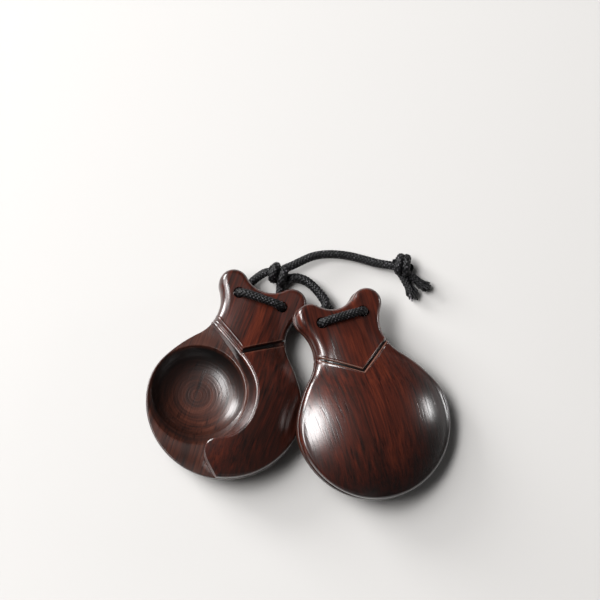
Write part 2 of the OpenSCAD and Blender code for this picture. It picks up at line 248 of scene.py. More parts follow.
def rosewood(name, place, finish, seed, marks):
    material, tree = newMaterial(name)
    half, bowlOut = marks["half"], marks["bowlOut"]
    spot = addNode(tree, "ShaderNodeTexCoord")
    own = addNode(tree, "ShaderNodeMapping", {"vector_type": "TEXTURE"}, {
        0: spot.outputs["Object"], "Location": place.translation,
        "Rotation": place.to_euler("XYZ")})
    axes = addNode(tree, "ShaderNodeSeparateXYZ", {}, {0: own})
    across, along, up = axes.outputs["X"], axes.outputs["Y"], axes.outputs["Z"]
    flat = addNode(tree, "ShaderNodeCombineXYZ", {}, {0: across, 1: along})
    height = addNode(tree, "ShaderNodeMath", {"operation": "ABSOLUTE"}, {0: up})

    def farFrom(x, y, near, far):
        # 0 within the near distance of a point, 1 beyond the far one
        apart = addNode(tree, "ShaderNodeVectorMath", {"operation": "DISTANCE"}, {
            0: flat, 1: (x * mm, y * mm, 0.0)})
        return addNode(tree, "ShaderNodeMapRange", {"interpolation_type": "SMOOTHSTEP"}, {
            0: apart.outputs["Value"], 1: near * mm, 2: far * mm, 3: 0.0, 4: 1.0})

    # where the bowls are
    wallFrom, wallTo, floorFrom, floorTo = [h * mm for h in wood["bowlHeights"]]
    below = addNode(tree, "ShaderNodeMapRange", {}, {
        0: height, 1: wallFrom, 2: wallTo, 3: 0.0, 4: 1.0})
    above = addNode(tree, "ShaderNodeMapRange", {}, {
        0: height, 1: floorFrom, 2: floorTo, 3: 1.0, 4: 0.0})
    level = addNode(tree, "ShaderNodeMath", {"operation": "MULTIPLY"}, {0: below, 1: above})
    close = addNode(tree, "ShaderNodeMath", {"operation": "SUBTRACT"}, {
        0: 1.0, 1: farFrom(bowlOut, 0, *wood["bowlReach"])})
    inBowl = addNode(tree, "ShaderNodeMath", {"operation": "MULTIPLY"}, {0: level, 1: close})
    outBowl = addNode(tree, "ShaderNodeMath", {"operation": "SUBTRACT"}, {0: 1.0, 1: inBowl})

    # slow bends of the grain lines
    bends = addNode(tree, "ShaderNodeTexNoise", {}, {
        0: own, "Scale": 30.0, "Detail": 2.0, "Roughness": 0.45})
    bent = addNode(tree, "ShaderNodeVectorMath", {"operation": "MULTIPLY_ADD"}, {
        0: bends.outputs["Color"], 1: (wood["bend"], 0.0, wood["bend"]), 2: own})

    def grain(spacing, shift, detail, roughness):
        # noise drawn out along the castanet
        space = addNode(tree, "ShaderNodeMapping", {}, {
            0: bent, "Location": (seed + shift, seed * 0.7, shift),
            "Scale": (1.0, 1 / wood["stretch"], 0.5)})
        return addNode(tree, "ShaderNodeTexNoise", {}, {
            0: space, "Scale": 0.5 / spacing, "Detail": detail, "Roughness": roughness})

    lines = grain(wood["line"], 0.0, 4.0, 0.6)
    bands = grain(wood["band"], 0.31, 3.0, 0.5)
    blend = addNode(tree, "ShaderNodeMix", {"data_type": "FLOAT"}, {
        0: wood["bandShare"], 2: lines, 3: bands})
    # in the bowls the turning marks hold oil in rings that waver a little
    fromMiddle = addNode(tree, "ShaderNodeVectorMath", {"operation": "DISTANCE"}, {
        0: flat, 1: (bowlOut * mm, 0.0, 0.0)})
    wavers = [addNode(tree, "ShaderNodeMath", {"operation": "MULTIPLY"}, {0: side, 1: 0.06})
              for side in (along, across)]
    ringAt = addNode(tree, "ShaderNodeCombineXYZ", {}, {
        0: fromMiddle.outputs["Value"], 1: wavers[0], 2: wavers[1]})
    rings = addNode(tree, "ShaderNodeTexNoise", {}, {
        0: ringAt, "Scale": 0.5 / wood["ring"], "Detail": 3.0, "Roughness": 0.6})
    ringShare = addNode(tree, "ShaderNodeMath", {"operation": "MULTIPLY"}, {
        0: inBowl, 1: wood["ringShare"]})
    turned = addNode(tree, "ShaderNodeMix", {"data_type": "FLOAT"}, {
        0: ringShare, 2: blend, 3: rings})
    ramp = addNode(tree, "ShaderNodeValToRGB", {}, {0: turned})
    stops, tones, places = ramp.color_ramp.elements, finish["tones"], wood["stops"]
    stops[0].position, stops[0].color = places[0], linear(tones[0])
    stops[1].position, stops[1].color = places[3], linear(tones[3])
    for at, tone in zip(places[1:3], tones[1:3]):
        stops.new(at).color = linear(tone)

    # narrow dark veins where a slower noise crosses its middle, and open pores
    slow = addNode(tree, "ShaderNodeMath", {"operation": "SUBTRACT"}, {
        0: grain(wood["band"] * 0.55, 0.57, 3.0, 0.55), 1: 0.5})
    crossing = addNode(tree, "ShaderNodeMath", {"operation": "ABSOLUTE"}, {0: slow})
    vein = addNode(tree, "ShaderNodeMapRange", {}, {
        0: crossing, 1: 0.0, 2: 0.02, 3: 0.45, 4: 0.0})
    veins = addNode(tree, "ShaderNodeMath", {"operation": "MULTIPLY"}, {0: vein, 1: outBowl})
    pores = addNode(tree, "ShaderNodeMapRange", {}, {
        0: grain(wood["pore"], 0.11, 2.0, 0.6), 1: 0.56, 2: 0.74, 3: 0.0, 4: 1.0})

    # painted shade: a darker rim on the foot's side, away from the light, and a darker wall in
    # each bowl
    body, (rimX, rimY), (rimNear, rimFar) = shell["body"], wood["rimShadeSpot"], wood["rimShadeReach"]
    outwards = addNode(tree, "ShaderNodeMath", {"operation": "MULTIPLY"}, {
        0: farFrom(rimX * body, rimY * body, rimNear * body, rimFar * body), 1: marks["rimShade"]})
    footSide = addNode(tree, "ShaderNodeMapRange", {"interpolation_type": "SMOOTHSTEP"}, {
        0: along, 1: 0.0, 2: wood["footSide"] * mm, 3: 1.0, 4: 0.0})
    rimShade = addNode(tree, "ShaderNodeMath", {"operation": "MULTIPLY"}, {0: outwards, 1: footSide})
    clearX, clearY = wood["unshadedSpot"]
    # painted shade on the bowl's wall, fading out near one spot in the bowl
    paintedBowlShade = addNode(tree, "ShaderNodeMath", {"operation": "MULTIPLY"}, {
        0: inBowl, 1: farFrom(bowlOut + clearX, clearY, *wood["unshadedReach"])})

    # how near a point is to the line of the V
    sideways = addNode(tree, "ShaderNodeMath", {"operation": "ABSOLUTE"}, {0: across})
    aside = addNode(tree, "ShaderNodeMath", {"operation": "MULTIPLY"}, {
        0: sideways, 1: math.sin(armAngle)})
    raised = addNode(tree, "ShaderNodeMath", {"operation": "SUBTRACT"}, {
        0: along, 1: shell["grooveUp"] * mm})
    upright = addNode(tree, "ShaderNodeMath", {"operation": "MULTIPLY"}, {
        0: raised, 1: math.cos(armAngle)})
    offset = addNode(tree, "ShaderNodeMath", {"operation": "SUBTRACT"}, {0: upright, 1: aside})
    off = addNode(tree, "ShaderNodeMath", {"operation": "ABSOLUTE"}, {0: offset})
    # painted shade in the groove, near its line
    near = addNode(tree, "ShaderNodeMapRange", {}, {
        0: off, 1: half * 0.55 * mm, 2: half * mm, 3: 1.0, 4: 0.0})
    outside = addNode(tree, "ShaderNodeMapRange", {}, {
        0: height, 1: 3.5 * mm, 2: 4.5 * mm, 3: 0.0, 4: 1.0})
    arm = addNode(tree, "ShaderNodeMapRange", {}, {
        0: across, 1: marks["from"] * mm, 2: (marks["from"] + 1) * mm, 3: 0.0, 4: 1.0})
    there = addNode(tree, "ShaderNodeMath", {"operation": "MULTIPLY"}, {0: arm, 1: outside})
    groove = addNode(tree, "ShaderNodeMath", {"operation": "MULTIPLY"}, {0: near, 1: there})
    # and to the edge beside it, with pale wear and a painted highlight line
    beside = addNode(tree, "ShaderNodeMath", {"operation": "SUBTRACT"}, {
        0: off, 1: (half + 0.25) * mm})
    fromEdge = addNode(tree, "ShaderNodeMath", {"operation": "ABSOLUTE"}, {0: beside})
    edge = addNode(tree, "ShaderNodeMapRange", {}, {
        0: fromEdge, 1: 0.05 * mm, 2: 0.3 * mm, 3: marks["wearAndHighlight"], 4: 0.0})
    wornEdgeHighlight = addNode(tree, "ShaderNodeMath", {"operation": "MULTIPLY"}, {0: edge, 1: there})

    # each layer lies over the ones before it
    colour = ramp.outputs[0]
    for share, tone, kind in ((veins, "veinTone", "MULTIPLY"), (pores, "poreTone", "MULTIPLY"),
                              (rimShade, "rimShadeTone", "MULTIPLY"), (paintedBowlShade, "bowlShadeTone", "MULTIPLY"),
                              (wornEdgeHighlight, "wornHighlightTone", "MIX"), (groove, "grooveShadeTone", "MULTIPLY")):
        layer = addNode(tree, "ShaderNodeMix", {"data_type": "RGBA", "blend_type": kind}, {
            0: share, 6: colour, 7: linear(wood[tone])})
        colour = layer.outputs[2]
    relief = addNode(tree, "ShaderNodeMath", {"operation": "MULTIPLY_ADD"}, {
        0: lines, 1: 0.6, 2: pores})
    bump = addNode(tree, "ShaderNodeBump", {"invert": True}, {
        "Height": relief, "Strength": wood["bump"], "Distance": wood["bumpDepth"]})
    rough = addNode(tree, "ShaderNodeMapRange", {}, {
        0: blend, 1: 0.3, 2: 0.7, 3: finish["rough"] + 0.06, 4: finish["rough"] - 0.03})
    shader = addNode(tree, "ShaderNodeBsdfPrincipled", {}, {
        "Base Color": colour, "Roughness": rough, "IOR": finish["ior"],
        "Coat Weight": finish["coat"], "Coat Roughness": finish["coatRough"], "Coat IOR": 1.6,
        "Normal": bump, "Coat Normal": bump})
    addNode(tree, "ShaderNodeOutputMaterial", {}, {0: shader})
    return material


leftRosewood = rosewood("rosewoodPolishedLeft", leftFrame, polish, 0.013, leftFrontMarks)
rightRosewood = rosewood("rosewoodPolishedRight", rightFrame, polish, 0.031, rightMarks)
leftInside = rosewood("rosewoodOiledLeft", leftFrame, oil, 0.022, leftMarks)
rightInside = rosewood("rosewoodOiledRight", rightFrame, oil, 0.044, rightMarks)


# Waxed polyester, braided: black yarns, with small grey highlights painted on their crowns.
def waxedBraid(name):
    material, tree = newMaterial(name)
    tone = addNode(tree, "ShaderNodeAttribute", {"attribute_name": "yarnTone"})
    crown = addNode(tree, "ShaderNodeAttribute", {"attribute_name": "yarnCrown"})
    spot = addNode(tree, "ShaderNodeTexCoord")
    flecks = addNode(tree, "ShaderNodeTexNoise", {}, {
        0: spot.outputs["Object"], "Scale": 1500.0, "Detail": 3.0})
    # painted highlight: grey flecks on the yarns' crowns
    wearAndHighlight = addNode(tree, "ShaderNodeMath", {"operation": "POWER"}, {
        0: crown.outputs["Fac"], 1: 3.0})
    paintedGlints = addNode(tree, "ShaderNodeMath", {"operation": "MULTIPLY"}, {0: wearAndHighlight, 1: flecks})
    lifted = addNode(tree, "ShaderNodeMath", {"operation": "MULTIPLY_ADD"}, {
        0: tone.outputs["Fac"], 1: 0.3, 2: paintedGlints})
    ramp = addNode(tree, "ShaderNodeValToRGB", {}, {0: lifted})
    stops = ramp.color_ramp.elements
    stops[0].position, stops[0].color = 0.3, linear("#030304")
    stops[1].position, stops[1].color = 0.78, linear("#6c686e")
    stops.new(0.56).color = linear("#070608")
    bump = addNode(tree, "ShaderNodeBump", {}, {
        "Height": flecks, "Strength": 0.35, "Distance": 0.0001})
    shader = addNode(tree, "ShaderNodeBsdfPrincipled", {}, {
        "Base Color": ramp, "Roughness": 0.5, "IOR": 1.38, "Normal": bump})
    addNode(tree, "ShaderNodeOutputMaterial", {}, {0: shader})
    return material


cordBraid = waxedBraid("polyesterBraidWaxed")
print("materials made")


cord = {
    "radius": 1.9,      # mm
    "oneWay": 6,        # yarns that wind each way; coarser than the real 8, so that they show
    "cell": 1.5,        # mm along the cord for each crossing
    "relief": 0.58,     # mm from a yarn's crown to the valley beside it
    "sides": 56,
    "step": 0.22,       # mm between rings
    "seed": 7,
}


def braidTree():
    # a tube along a path, with yarns that wind both ways and pass over and under each other
    tree, given = newTree("braid", [
        ("Radius", "Float"), ("Relief", "Float"), ("Cell", "Float"), ("Step", "Float"),
        ("Yarns one way", "Int"), ("Sides", "Int"), ("Seed", "Int")])
    line = addNode(tree, "GeometryNodeMeshToCurve", {}, {0: given["Geometry"]})
    even = addNode(tree, "GeometryNodeResampleCurve", {"mode": "LENGTH"}, {
        "Curve": line, "Length": given["Step"]})
    ring = addNode(tree, "GeometryNodeCurvePrimitiveCircle", {}, {
        "Resolution": given["Sides"], "Radius": given["Radius"]})
    where = addNode(tree, "GeometryNodeSplineParameter")
    marked = addNode(tree, "GeometryNodeStoreNamedAttribute", {"data_type": "FLOAT"}, {
        "Geometry": even, "Name": "along", "Value": where.outputs["Length"]})
    markedRing = addNode(tree, "GeometryNodeStoreNamedAttribute", {"data_type": "FLOAT"}, {
        "Geometry": ring, "Name": "around", "Value": where.outputs["Factor"]})
    tube = addNode(tree, "GeometryNodeCurveToMesh", {}, {
        "Curve": marked, "Profile Curve": markedRing, "Fill Caps": True})
    along, around = [addNode(tree, "GeometryNodeInputNamedAttribute", {"data_type": "FLOAT"}, {
        "Name": name}) for name in ("along", "around")]
    turns = addNode(tree, "ShaderNodeMath", {"operation": "MULTIPLY"}, {
        0: around, 1: given["Yarns one way"]})
    cells = addNode(tree, "ShaderNodeMath", {"operation": "DIVIDE"}, {0: along, 1: given["Cell"]})
    numbers, crowns = [], []
    for winding in ("ADD", "SUBTRACT"):
        # which yarn of this winding a point is on, and how high it is across that yarn
        count = addNode(tree, "ShaderNodeMath", {"operation": winding}, {0: turns, 1: cells})
        part = addNode(tree, "ShaderNodeMath", {"operation": "FRACT"}, {0: count})
        angle = addNode(tree, "ShaderNodeMath", {"operation": "MULTIPLY"}, {0: part, 1: math.pi})
        numbers.append(addNode(tree, "ShaderNodeMath", {"operation": "FLOOR"}, {0: count}))
        crowns.append(addNode(tree, "ShaderNodeMath", {"operation": "SINE"}, {0: angle}))
    both = addNode(tree, "ShaderNodeMath", {"operation": "ADD"}, {0: numbers[0], 1: numbers[1]})
    over = addNode(tree, "ShaderNodeMath", {"operation": "FLOORED_MODULO"}, {0: both, 1: 2.0})
    heights = []
    for own, crossed in (crowns, crowns[::-1]):
        # the yarn on top is round across, and dives where its neighbours cross it
        rounded = addNode(tree, "ShaderNodeMath", {"operation": "POWER"}, {0: own, 1: 0.5})
        dive = addNode(tree, "ShaderNodeMath", {"operation": "MULTIPLY_ADD"}, {
            0: crossed, 1: 0.5, 2: 0.5})
        heights.append(addNode(tree, "ShaderNodeMath", {"operation": "MULTIPLY"}, {
            0: rounded, 1: dive}))
    height = addNode(tree, "ShaderNodeMix", {"data_type": "FLOAT"}, {
        0: over, 2: heights[0], 3: heights[1]})
    low = addNode(tree, "ShaderNodeMath", {"operation": "SUBTRACT"}, {0: height, 1: 1.0})
    sink = addNode(tree, "ShaderNodeMath", {"operation": "MULTIPLY"}, {
        0: low, 1: given["Relief"]})
    normal = addNode(tree, "GeometryNodeInputNormal")
    push = addNode(tree, "ShaderNodeVectorMath", {"operation": "SCALE"}, {
        0: normal, "Scale": sink})
    moved = addNode(tree, "GeometryNodeSetPosition", {}, {"Geometry": tube, "Offset": push})
    column = addNode(tree, "ShaderNodeMath", {"operation": "MULTIPLY"}, {0: numbers[1], 1: 57.0})
    cell = addNode(tree, "ShaderNodeMath", {"operation": "MULTIPLY_ADD"}, {
        0: numbers[0], 1: 31.0, 2: column})
    dice = addNode(tree, "FunctionNodeRandomValue", {"data_type": "FLOAT"}, {
        "ID": cell, "Seed": given["Seed"]})
    drawn = [o for o in dice.outputs if o.enabled][0]
    crown = addNode(tree, "GeometryNodeStoreNamedAttribute", {"data_type": "FLOAT"}, {
        "Geometry": moved, "Name": "yarnCrown", "Value": height})
    tone = addNode(tree, "GeometryNodeStoreNamedAttribute", {"data_type": "FLOAT"}, {
        "Geometry": crown, "Name": "yarnTone", "Value": drawn})
    return endTree(tree, tone, given)


def grown(obj, tree, values):
    # runs a tree on an object and keeps the plain mesh that it makes
    modifier = obj.modifiers.new(tree.name, "NODES")
    modifier.node_group = tree
    values = {**values, "Finish": cordBraid}
    for item in tree.interface.items_tree:   # a modifier's inputs go by their identifiers
        if item.item_type == "SOCKET" and item.in_out == "INPUT" and item.name in values:
            modifier[item.identifier] = values[item.name]
    settled(obj, cordBraid)
    return obj


braid = braidTree()


def smoothPath(points, step):
    # a centripetal spline through the points, in even steps
    points = np.asarray(points, float)
    points = np.vstack([2 * points[0] - points[1], points, 2 * points[-1] - points[-2]])
    found = []
    for p0, p1, p2, p3 in zip(points, points[1:], points[2:], points[3:]):
        t0 = 0.0
        t1 = np.linalg.norm(p1 - p0) ** 0.5
        t2 = t1 + np.linalg.norm(p2 - p1) ** 0.5
        t3 = t2 + np.linalg.norm(p3 - p2) ** 0.5
        t = np.linspace(t1, t2, 24, endpoint=False)[:, None]
        a1 = (t1 - t) / (t1 - t0) * p0 + (t - t0) / (t1 - t0) * p1
        a2 = (t2 - t) / (t2 - t1) * p1 + (t - t1) / (t2 - t1) * p2
        a3 = (t3 - t) / (t3 - t2) * p2 + (t - t2) / (t3 - t2) * p3
        b1 = (t2 - t) / (t2 - t0) * a1 + (t - t0) / (t2 - t0) * a2
        b2 = (t3 - t) / (t3 - t1) * a2 + (t - t1) / (t3 - t1) * a3
        found.append((t2 - t) / (t2 - t1) * b1 + (t - t1) / (t2 - t1) * b2)
    found = np.vstack(found + [points[-2][None, :]])
    run = np.concatenate([[0], np.cumsum(np.linalg.norm(np.diff(found, axis=0), axis=1))])
    at = np.linspace(0, run[-1], max(3, round(run[-1] / step) + 1))
    return np.stack([np.interp(at, run, found[:, k]) for k in range(3)], axis=1)


def braided(name, path):
    # the braid along a path of points in metres
    made = meshObject(name, path, [], [(i, i + 1) for i in range(len(path) - 1)])
    return grown(made, braid, {
        "Radius": cord["radius"] * mm, "Relief": cord["relief"] * mm,
        "Cell": cord["cell"] * mm, "Step": cord["step"] * mm,
        "Yarns one way": cord["oneWay"], "Sides": cord["sides"], "Seed": cord["seed"]})


def onPair(points):
    return (np.asarray(points, float) + pair["shift"]) * mm


# the route, as the CAD has it: own points lie in a castanet's frame, the rest in the pair's
route = {
    "leftOwn": [
        (-9, 49.2, -8.8), (-9.4, 46.8, -8.2), (-9.5, 45, -6.2), (-9.5, 45, 4), (-9.3, 45, 6.4),
        (-7, 45, 7.7), (0, 45, 8.1), (7, 45, 7.7), (9.3, 45, 6.4), (9.5, 45, 4),
        (9.5, 45, -6.2), (9.4, 46.8, -8), (9, 49, -8.2)],
    "leftStart": [(-10.4, 54.6, 5.4), (-14, 54.4, 4.8), (-17.4, 52.6, 3.4)],
    "leftEnd": [(-7.8, 43.8, 2.3), (-7.8, 46.9, 3.1), (-7.6, 50.2, 4.4)],
    "rightFront": [
        (-9.5, 45, 0.8), (-9.5, 45, 4), (-9.3, 45, 6.4), (-7, 45, 7.7), (0, 45, 8.1),
        (7, 45, 7.7), (9.3, 45, 6.4), (9.5, 45, 4), (9.5, 45, 0.8)],
    "upperOwn": [(-7, 47, -8.4), (-9, 45.6, -7.8), (-9.5, 45, -5.4), (-9.5, 45, -0.3)],
    "lowerOwn": [(9, 45.5, -7.6), (9.5, 45, -5.4), (9.5, 45, -0.3)],
    "upperStart": [(-4.2, 52.0, 4.4), (-1.5, 52.4, 5.5), (1.8, 51.6, 6.2), (5.2, 49.4, 6.6),
                   (8.8, 45.6, 7.2), (11.6, 41.4, 7.8)],
    "lowerStart": [(-5, 52.6, 3.2), (-1.6, 52.6, 2.4), (1.6, 52, 2.1), (5.2, 50, 2.1),
                   (8.8, 46.2, 2.4), (11.8, 41.8, 2.8), (14.2, 37.8, 3.4), (17.2, 35.2, 4.6)],
    "tail": [(-5.4, 56.0, 7.2), (-3.0, 57.1, 7.0), (0.4, 59, 6.4), (5, 61.3, 6),
             (10, 62.7, 5), (16, 63.1, 4), (22, 62.6, 3.2), (27.4, 61.4, 3), (33, 59.9, 3.4),
             (39, 58.8, 4.2), (42.4, 58.2, 4.5)],
}
knots = {
    # each: its middle and its axis, then its wraps' number, radius, pitch, first angle and lean
    "main": ((-8.0, 53.4, 5.75), (0.83, -0.5, 0), (1.9, 3.4, 4.2, -30, 20)),
    "end": ((44.0, 58.9, 5.55), (0.9, -0.3, 0), (2.1, 3.3, 2.9, 240, 20)),
    "swell": (0.94, 0.12),   # share of the radius that the first wrap has, and what the last adds
    "closeIn": 0.22,         # the smaller, the later the wraps close in on the ends
    "turnPoints": 24,        # points in each wrap
}


def cordPath(*stretches):
    return smoothPath(np.vstack(stretches), cord["step"] * mm)


leftLacePath = cordPath(onPair(route["leftStart"]), placed(route["leftOwn"], leftFrame),
                        onPair(route["leftEnd"]))
rightLacePath = cordPath(placed(route["rightFront"], rightFrame))
upperPath = cordPath(onPair(route["upperStart"]), placed(route["upperOwn"], rightFrame))
lowerPath = cordPath(onPair(route["lowerStart"]), placed(route["lowerOwn"], rightFrame))
tailPath = cordPath(onPair(route["tail"]))


def lengthOf(path):
    return float(np.linalg.norm(np.diff(path, axis=0), axis=1).sum())


def knotPath(centre, axis, size):
    # the wraps of a knot drawn tight, as they show from outside; they lean over each other,
    # and their ends go in with the cord
    wraps, radius, pitch, phase, lean = size
    first, more = knots["swell"]
    axis = np.array(axis, float) / np.linalg.norm(axis)
    t = np.linspace(0, 1, knots["turnPoints"] * round(wraps + 1))
    turn = 2 * math.pi * wraps * t + math.radians(phase)
    reach = radius * (first + more * t) * np.sin(math.pi * t) ** knots["closeIn"]
    ahead = math.atan2(axis[1], axis[0]) + math.radians(lean) * (t - 0.5)
    side = np.column_stack([-np.sin(ahead), np.cos(ahead), 0 * t])
    path = (np.outer((t - 0.5) * wraps * pitch, axis) + side * (reach * np.cos(turn))[:, None]
            + np.outer(reach * np.sin(turn), (0, 0, 1)))
    return cordPath(onPair(path + centre))


leftLace = braided("leftLace", leftLacePath)
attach(leftLace, "left_front")
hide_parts("left_lace")
rightLace = braided("rightLace", rightLacePath)
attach(rightLace, "right_front")
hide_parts("right_lace")
upperStrand = braided("rightStrandUpper", upperPath)
lowerStrand = braided("rightStrandLower", lowerPath)
for strand in (upperStrand, lowerStrand):
    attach(strand, "right_back")
    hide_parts("right_loop")
tailCord = braided("tailCord", tailPath)
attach(tailCord, "tie")
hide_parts("tail")
mainKnot = braided("mainKnot", knotPath(*knots["main"]))
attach(mainKnot, "tie")
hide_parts("main_knot")
endKnot = braided("endKnot", knotPath(*knots["end"]))
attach(endKnot, "tie")
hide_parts("end_knot")
print("cords made, mm:", [round(lengthOf(p) / mm, 1) for p in (
    leftLacePath, rightLacePath, upperPath, lowerPath, tailPath)])


frays = {
    # each end: where it leaves the knot, where its braid comes undone and its tip, mm
    "bunches": [((44.4, 56.6, 4.0), (49.6, 53.0, 3.6), (54.4, 49.8, 3.3)),
                ((43.4, 55.8, 3.4), (46.2, 51.0, 3.1), (48.9, 46.2, 3.0))],
    "spread": (1.7, 2.6),    # mm about the middle, where the braid comes undone and at the tip
    "stub": 0.75,            # how far of the way to the tip the cord's core still shows
    "from": 0.3,             # where on that way the yarns stand free
    "yarns": 90,
    "yarnRadius": 0.3,       # mm
    "wave": 1.6,             # mm that a yarn wanders at its tip
    "seed": 3,
}


def frayTree():
    # one yarn copied many times, fanned out from the root to the tip
    tree, given = newTree("frayedYarns", [
        ("Yarns", "Int"), ("Yarn radius", "Float"), ("Root spread", "Float"),
        ("Tip spread", "Float"), ("Wave", "Float"), ("Root", "Vector"), ("Seed", "Int")])

    def drawn(low, high, shift, kind="FLOAT"):
        # a random value for each yarn
        seed = addNode(tree, "ShaderNodeMath", {"operation": "ADD"}, {0: given["Seed"], 1: shift})
        dice = addNode(tree, "FunctionNodeRandomValue", {"data_type": kind}, {
            "ID": copies.outputs["Duplicate Index"], "Seed": seed})
        for label, value in (("Min", low), ("Max", high)):
            socket = [i for i in dice.inputs if i.enabled and i.name == label][0]
            socket.default_value = value
        return [o for o in dice.outputs if o.enabled][0]

    line = addNode(tree, "GeometryNodeMeshToCurve", {}, {0: given["Geometry"]})
    even = addNode(tree, "GeometryNodeResampleCurve", {"mode": "COUNT"}, {
        "Curve": line, "Count": 13})
    copies = addNode(tree, "GeometryNodeDuplicateElements", {"domain": "SPLINE"}, {
        "Geometry": even, "Amount": given["Yarns"]})
    where = addNode(tree, "GeometryNodeSplineParameter")
    spread = addNode(tree, "ShaderNodeMapRange", {}, {
        0: where.outputs["Factor"], 3: given["Root spread"], 4: given["Tip spread"]})
    aside = addNode(tree, "ShaderNodeVectorMath", {"operation": "NORMALIZE"}, {
        0: drawn((-1, -1, -0.8), (1, 1, 0.8), 0, "FLOAT_VECTOR")})
    inOut = addNode(tree, "ShaderNodeMath", {"operation": "POWER"}, {
        0: drawn(0.02, 1.0, 1), 1: 0.6})
    reach = addNode(tree, "ShaderNodeMath", {"operation": "MULTIPLY"}, {0: spread, 1: inOut})
    fan = addNode(tree, "ShaderNodeVectorMath", {"operation": "SCALE"}, {
        0: aside, "Scale": reach})
    # each yarn wanders by its own noise, more towards its tip
    place = addNode(tree, "GeometryNodeInputPosition")
    far = addNode(tree, "ShaderNodeVectorMath", {"operation": "SCALE"}, {0: aside, "Scale": 3.0})
    noiseAt = addNode(tree, "ShaderNodeVectorMath", {"operation": "ADD"}, {0: place, 1: far})
    noise = addNode(tree, "ShaderNodeTexNoise", {}, {0: noiseAt, "Scale": 190.0})
    centred = addNode(tree, "ShaderNodeVectorMath", {"operation": "SUBTRACT"}, {
        0: noise.outputs["Color"], 1: (0.5, 0.5, 0.5)})
    grows = addNode(tree, "ShaderNodeMath", {"operation": "MULTIPLY"}, {
        0: where.outputs["Factor"], 1: given["Wave"]})
    wander = addNode(tree, "ShaderNodeVectorMath", {"operation": "SCALE"}, {
        0: centred, "Scale": grows})
    # yarns of unequal length
    fromRoot = addNode(tree, "ShaderNodeVectorMath", {"operation": "SUBTRACT"}, {
        0: place, 1: given["Root"]})
    longer = addNode(tree, "ShaderNodeVectorMath", {"operation": "SCALE"}, {
        0: fromRoot, "Scale": drawn(-0.3, 0.1, 2)})
    both = addNode(tree, "ShaderNodeVectorMath", {"operation": "ADD"}, {0: fan, 1: wander})
    offset = addNode(tree, "ShaderNodeVectorMath", {"operation": "ADD"}, {0: both, 1: longer})
    moved = addNode(tree, "GeometryNodeSetPosition", {}, {"Geometry": copies, "Offset": offset})
    ring = addNode(tree, "GeometryNodeCurvePrimitiveCircle", {}, {
        "Resolution": 6, "Radius": given["Yarn radius"]})
    tube = addNode(tree, "GeometryNodeCurveToMesh", {}, {
        "Curve": moved, "Profile Curve": ring, "Fill Caps": True})
    tone = addNode(tree, "GeometryNodeStoreNamedAttribute", {"data_type": "FLOAT"}, {
        "Geometry": tube, "Name": "yarnTone", "Value": drawn(0.1, 1.0, 3)})
    # how much painted highlight each yarn's crown gets
    crown = addNode(tree, "GeometryNodeStoreNamedAttribute", {"data_type": "FLOAT"}, {
        "Geometry": tone, "Name": "yarnCrown", "Value": drawn(0.3, 1.0, 4)})
    return endTree(tree, crown, given)


fray = frayTree()
for number, points in enumerate(frays["bunches"]):
    root, undone, tip = onPair(points)
    way = tip - undone
    stub = braided("endStub%d" % (number + 1),
                   cordPath([root, undone, undone + way * frays["stub"]]))
    bunch = meshObject("frayedEnd%d" % (number + 1), [undone + way * frays["from"], tip], [],
                       [(0, 1)])
    grown(bunch, fray, {
        "Yarns": frays["yarns"], "Yarn radius": frays["yarnRadius"] * mm,
        "Root spread": frays["spread"][0] * mm, "Tip spread": frays["spread"][1] * mm,
        "Wave": frays["wave"] * mm, "Root": tuple(undone), "Seed": frays["seed"] + number * 10})
    for piece in (stub, bunch):
        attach(piece, "tie")
        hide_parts("frayed_ends")
print("frayed ends made")


def arcPoints(centre, r, start, end, count):
    a = np.radians(np.linspace(start, end, count))
    return np.stack([centre[0] + r * np.cos(a), centre[1] + r * np.sin(a)], axis=1)


def rightSide():
    # the outline's right side, from the foot to the notch
    p = shell

    def along(angle):
        return np.array([math.cos(math.radians(angle)), math.sin(math.radians(angle))])

    def heading(v):
        return math.degrees(math.atan2(v[1], v[0]))

    flankC = (p["body"] - p["flank"]) * along(p["flankFrom"])
    shoulderC = flankC + (p["flank"] - p["shoulder"]) * along(p["flankTo"])
    earC = np.array([p["earOut"], p["earUp"]])
    d1, d2 = p["shoulder"] + p["neck"], p["earRadius"] + p["neck"]
    span = np.linalg.norm(earC - shoulderC)
    unit = (earC - shoulderC) / span
    a = (d1 * d1 - d2 * d2 + span * span) / (2 * span)
    neckC = shoulderC + a * unit + math.sqrt(d1 * d1 - a * a) * np.array([unit[1], -unit[0]])
    rise = p["notchUp"] - p["earUp"]
    notchR = (p["earOut"] ** 2 + rise ** 2 - p["earRadius"] ** 2) / (2 * (p["earRadius"] - rise))
    notchC = np.array([0, p["notchUp"] + notchR])
    shoulderTo, neckTo = heading(neckC - shoulderC), heading(earC - neckC)
    earTo = heading(notchC - earC)
    return np.vstack([
        arcPoints((0, 0), p["body"], -90, p["flankFrom"], 500)[:-1],
        arcPoints(flankC, p["flank"], p["flankFrom"], p["flankTo"], 200)[:-1],
        arcPoints(shoulderC, p["shoulder"], p["flankTo"], shoulderTo, 200)[:-1],
        arcPoints(neckC, p["neck"], shoulderTo + 180, neckTo, 200)[:-1],
        arcPoints(earC, p["earRadius"], neckTo - 180, earTo, 300)[:-1],
        arcPoints(notchC, notchR, earTo - 180, -90, 100)])


outline = rightSide()
outlineRun = np.concatenate([[0], np.cumsum(np.linalg.norm(np.diff(outline, axis=0), axis=1))])


def outlineAt(run):
    # the outline's points at these runs along it, and which way is out there
    def at(runs):
        return np.stack([np.interp(runs, outlineRun, outline[:, k]) for k in (0, 1)], axis=1)

    step = 0.05
    way = at(run + step) - at(run - step)
    way /= np.linalg.norm(way, axis=1)[:, None]
    return at(run), np.stack([way[:, 1], -way[:, 0]], axis=1)


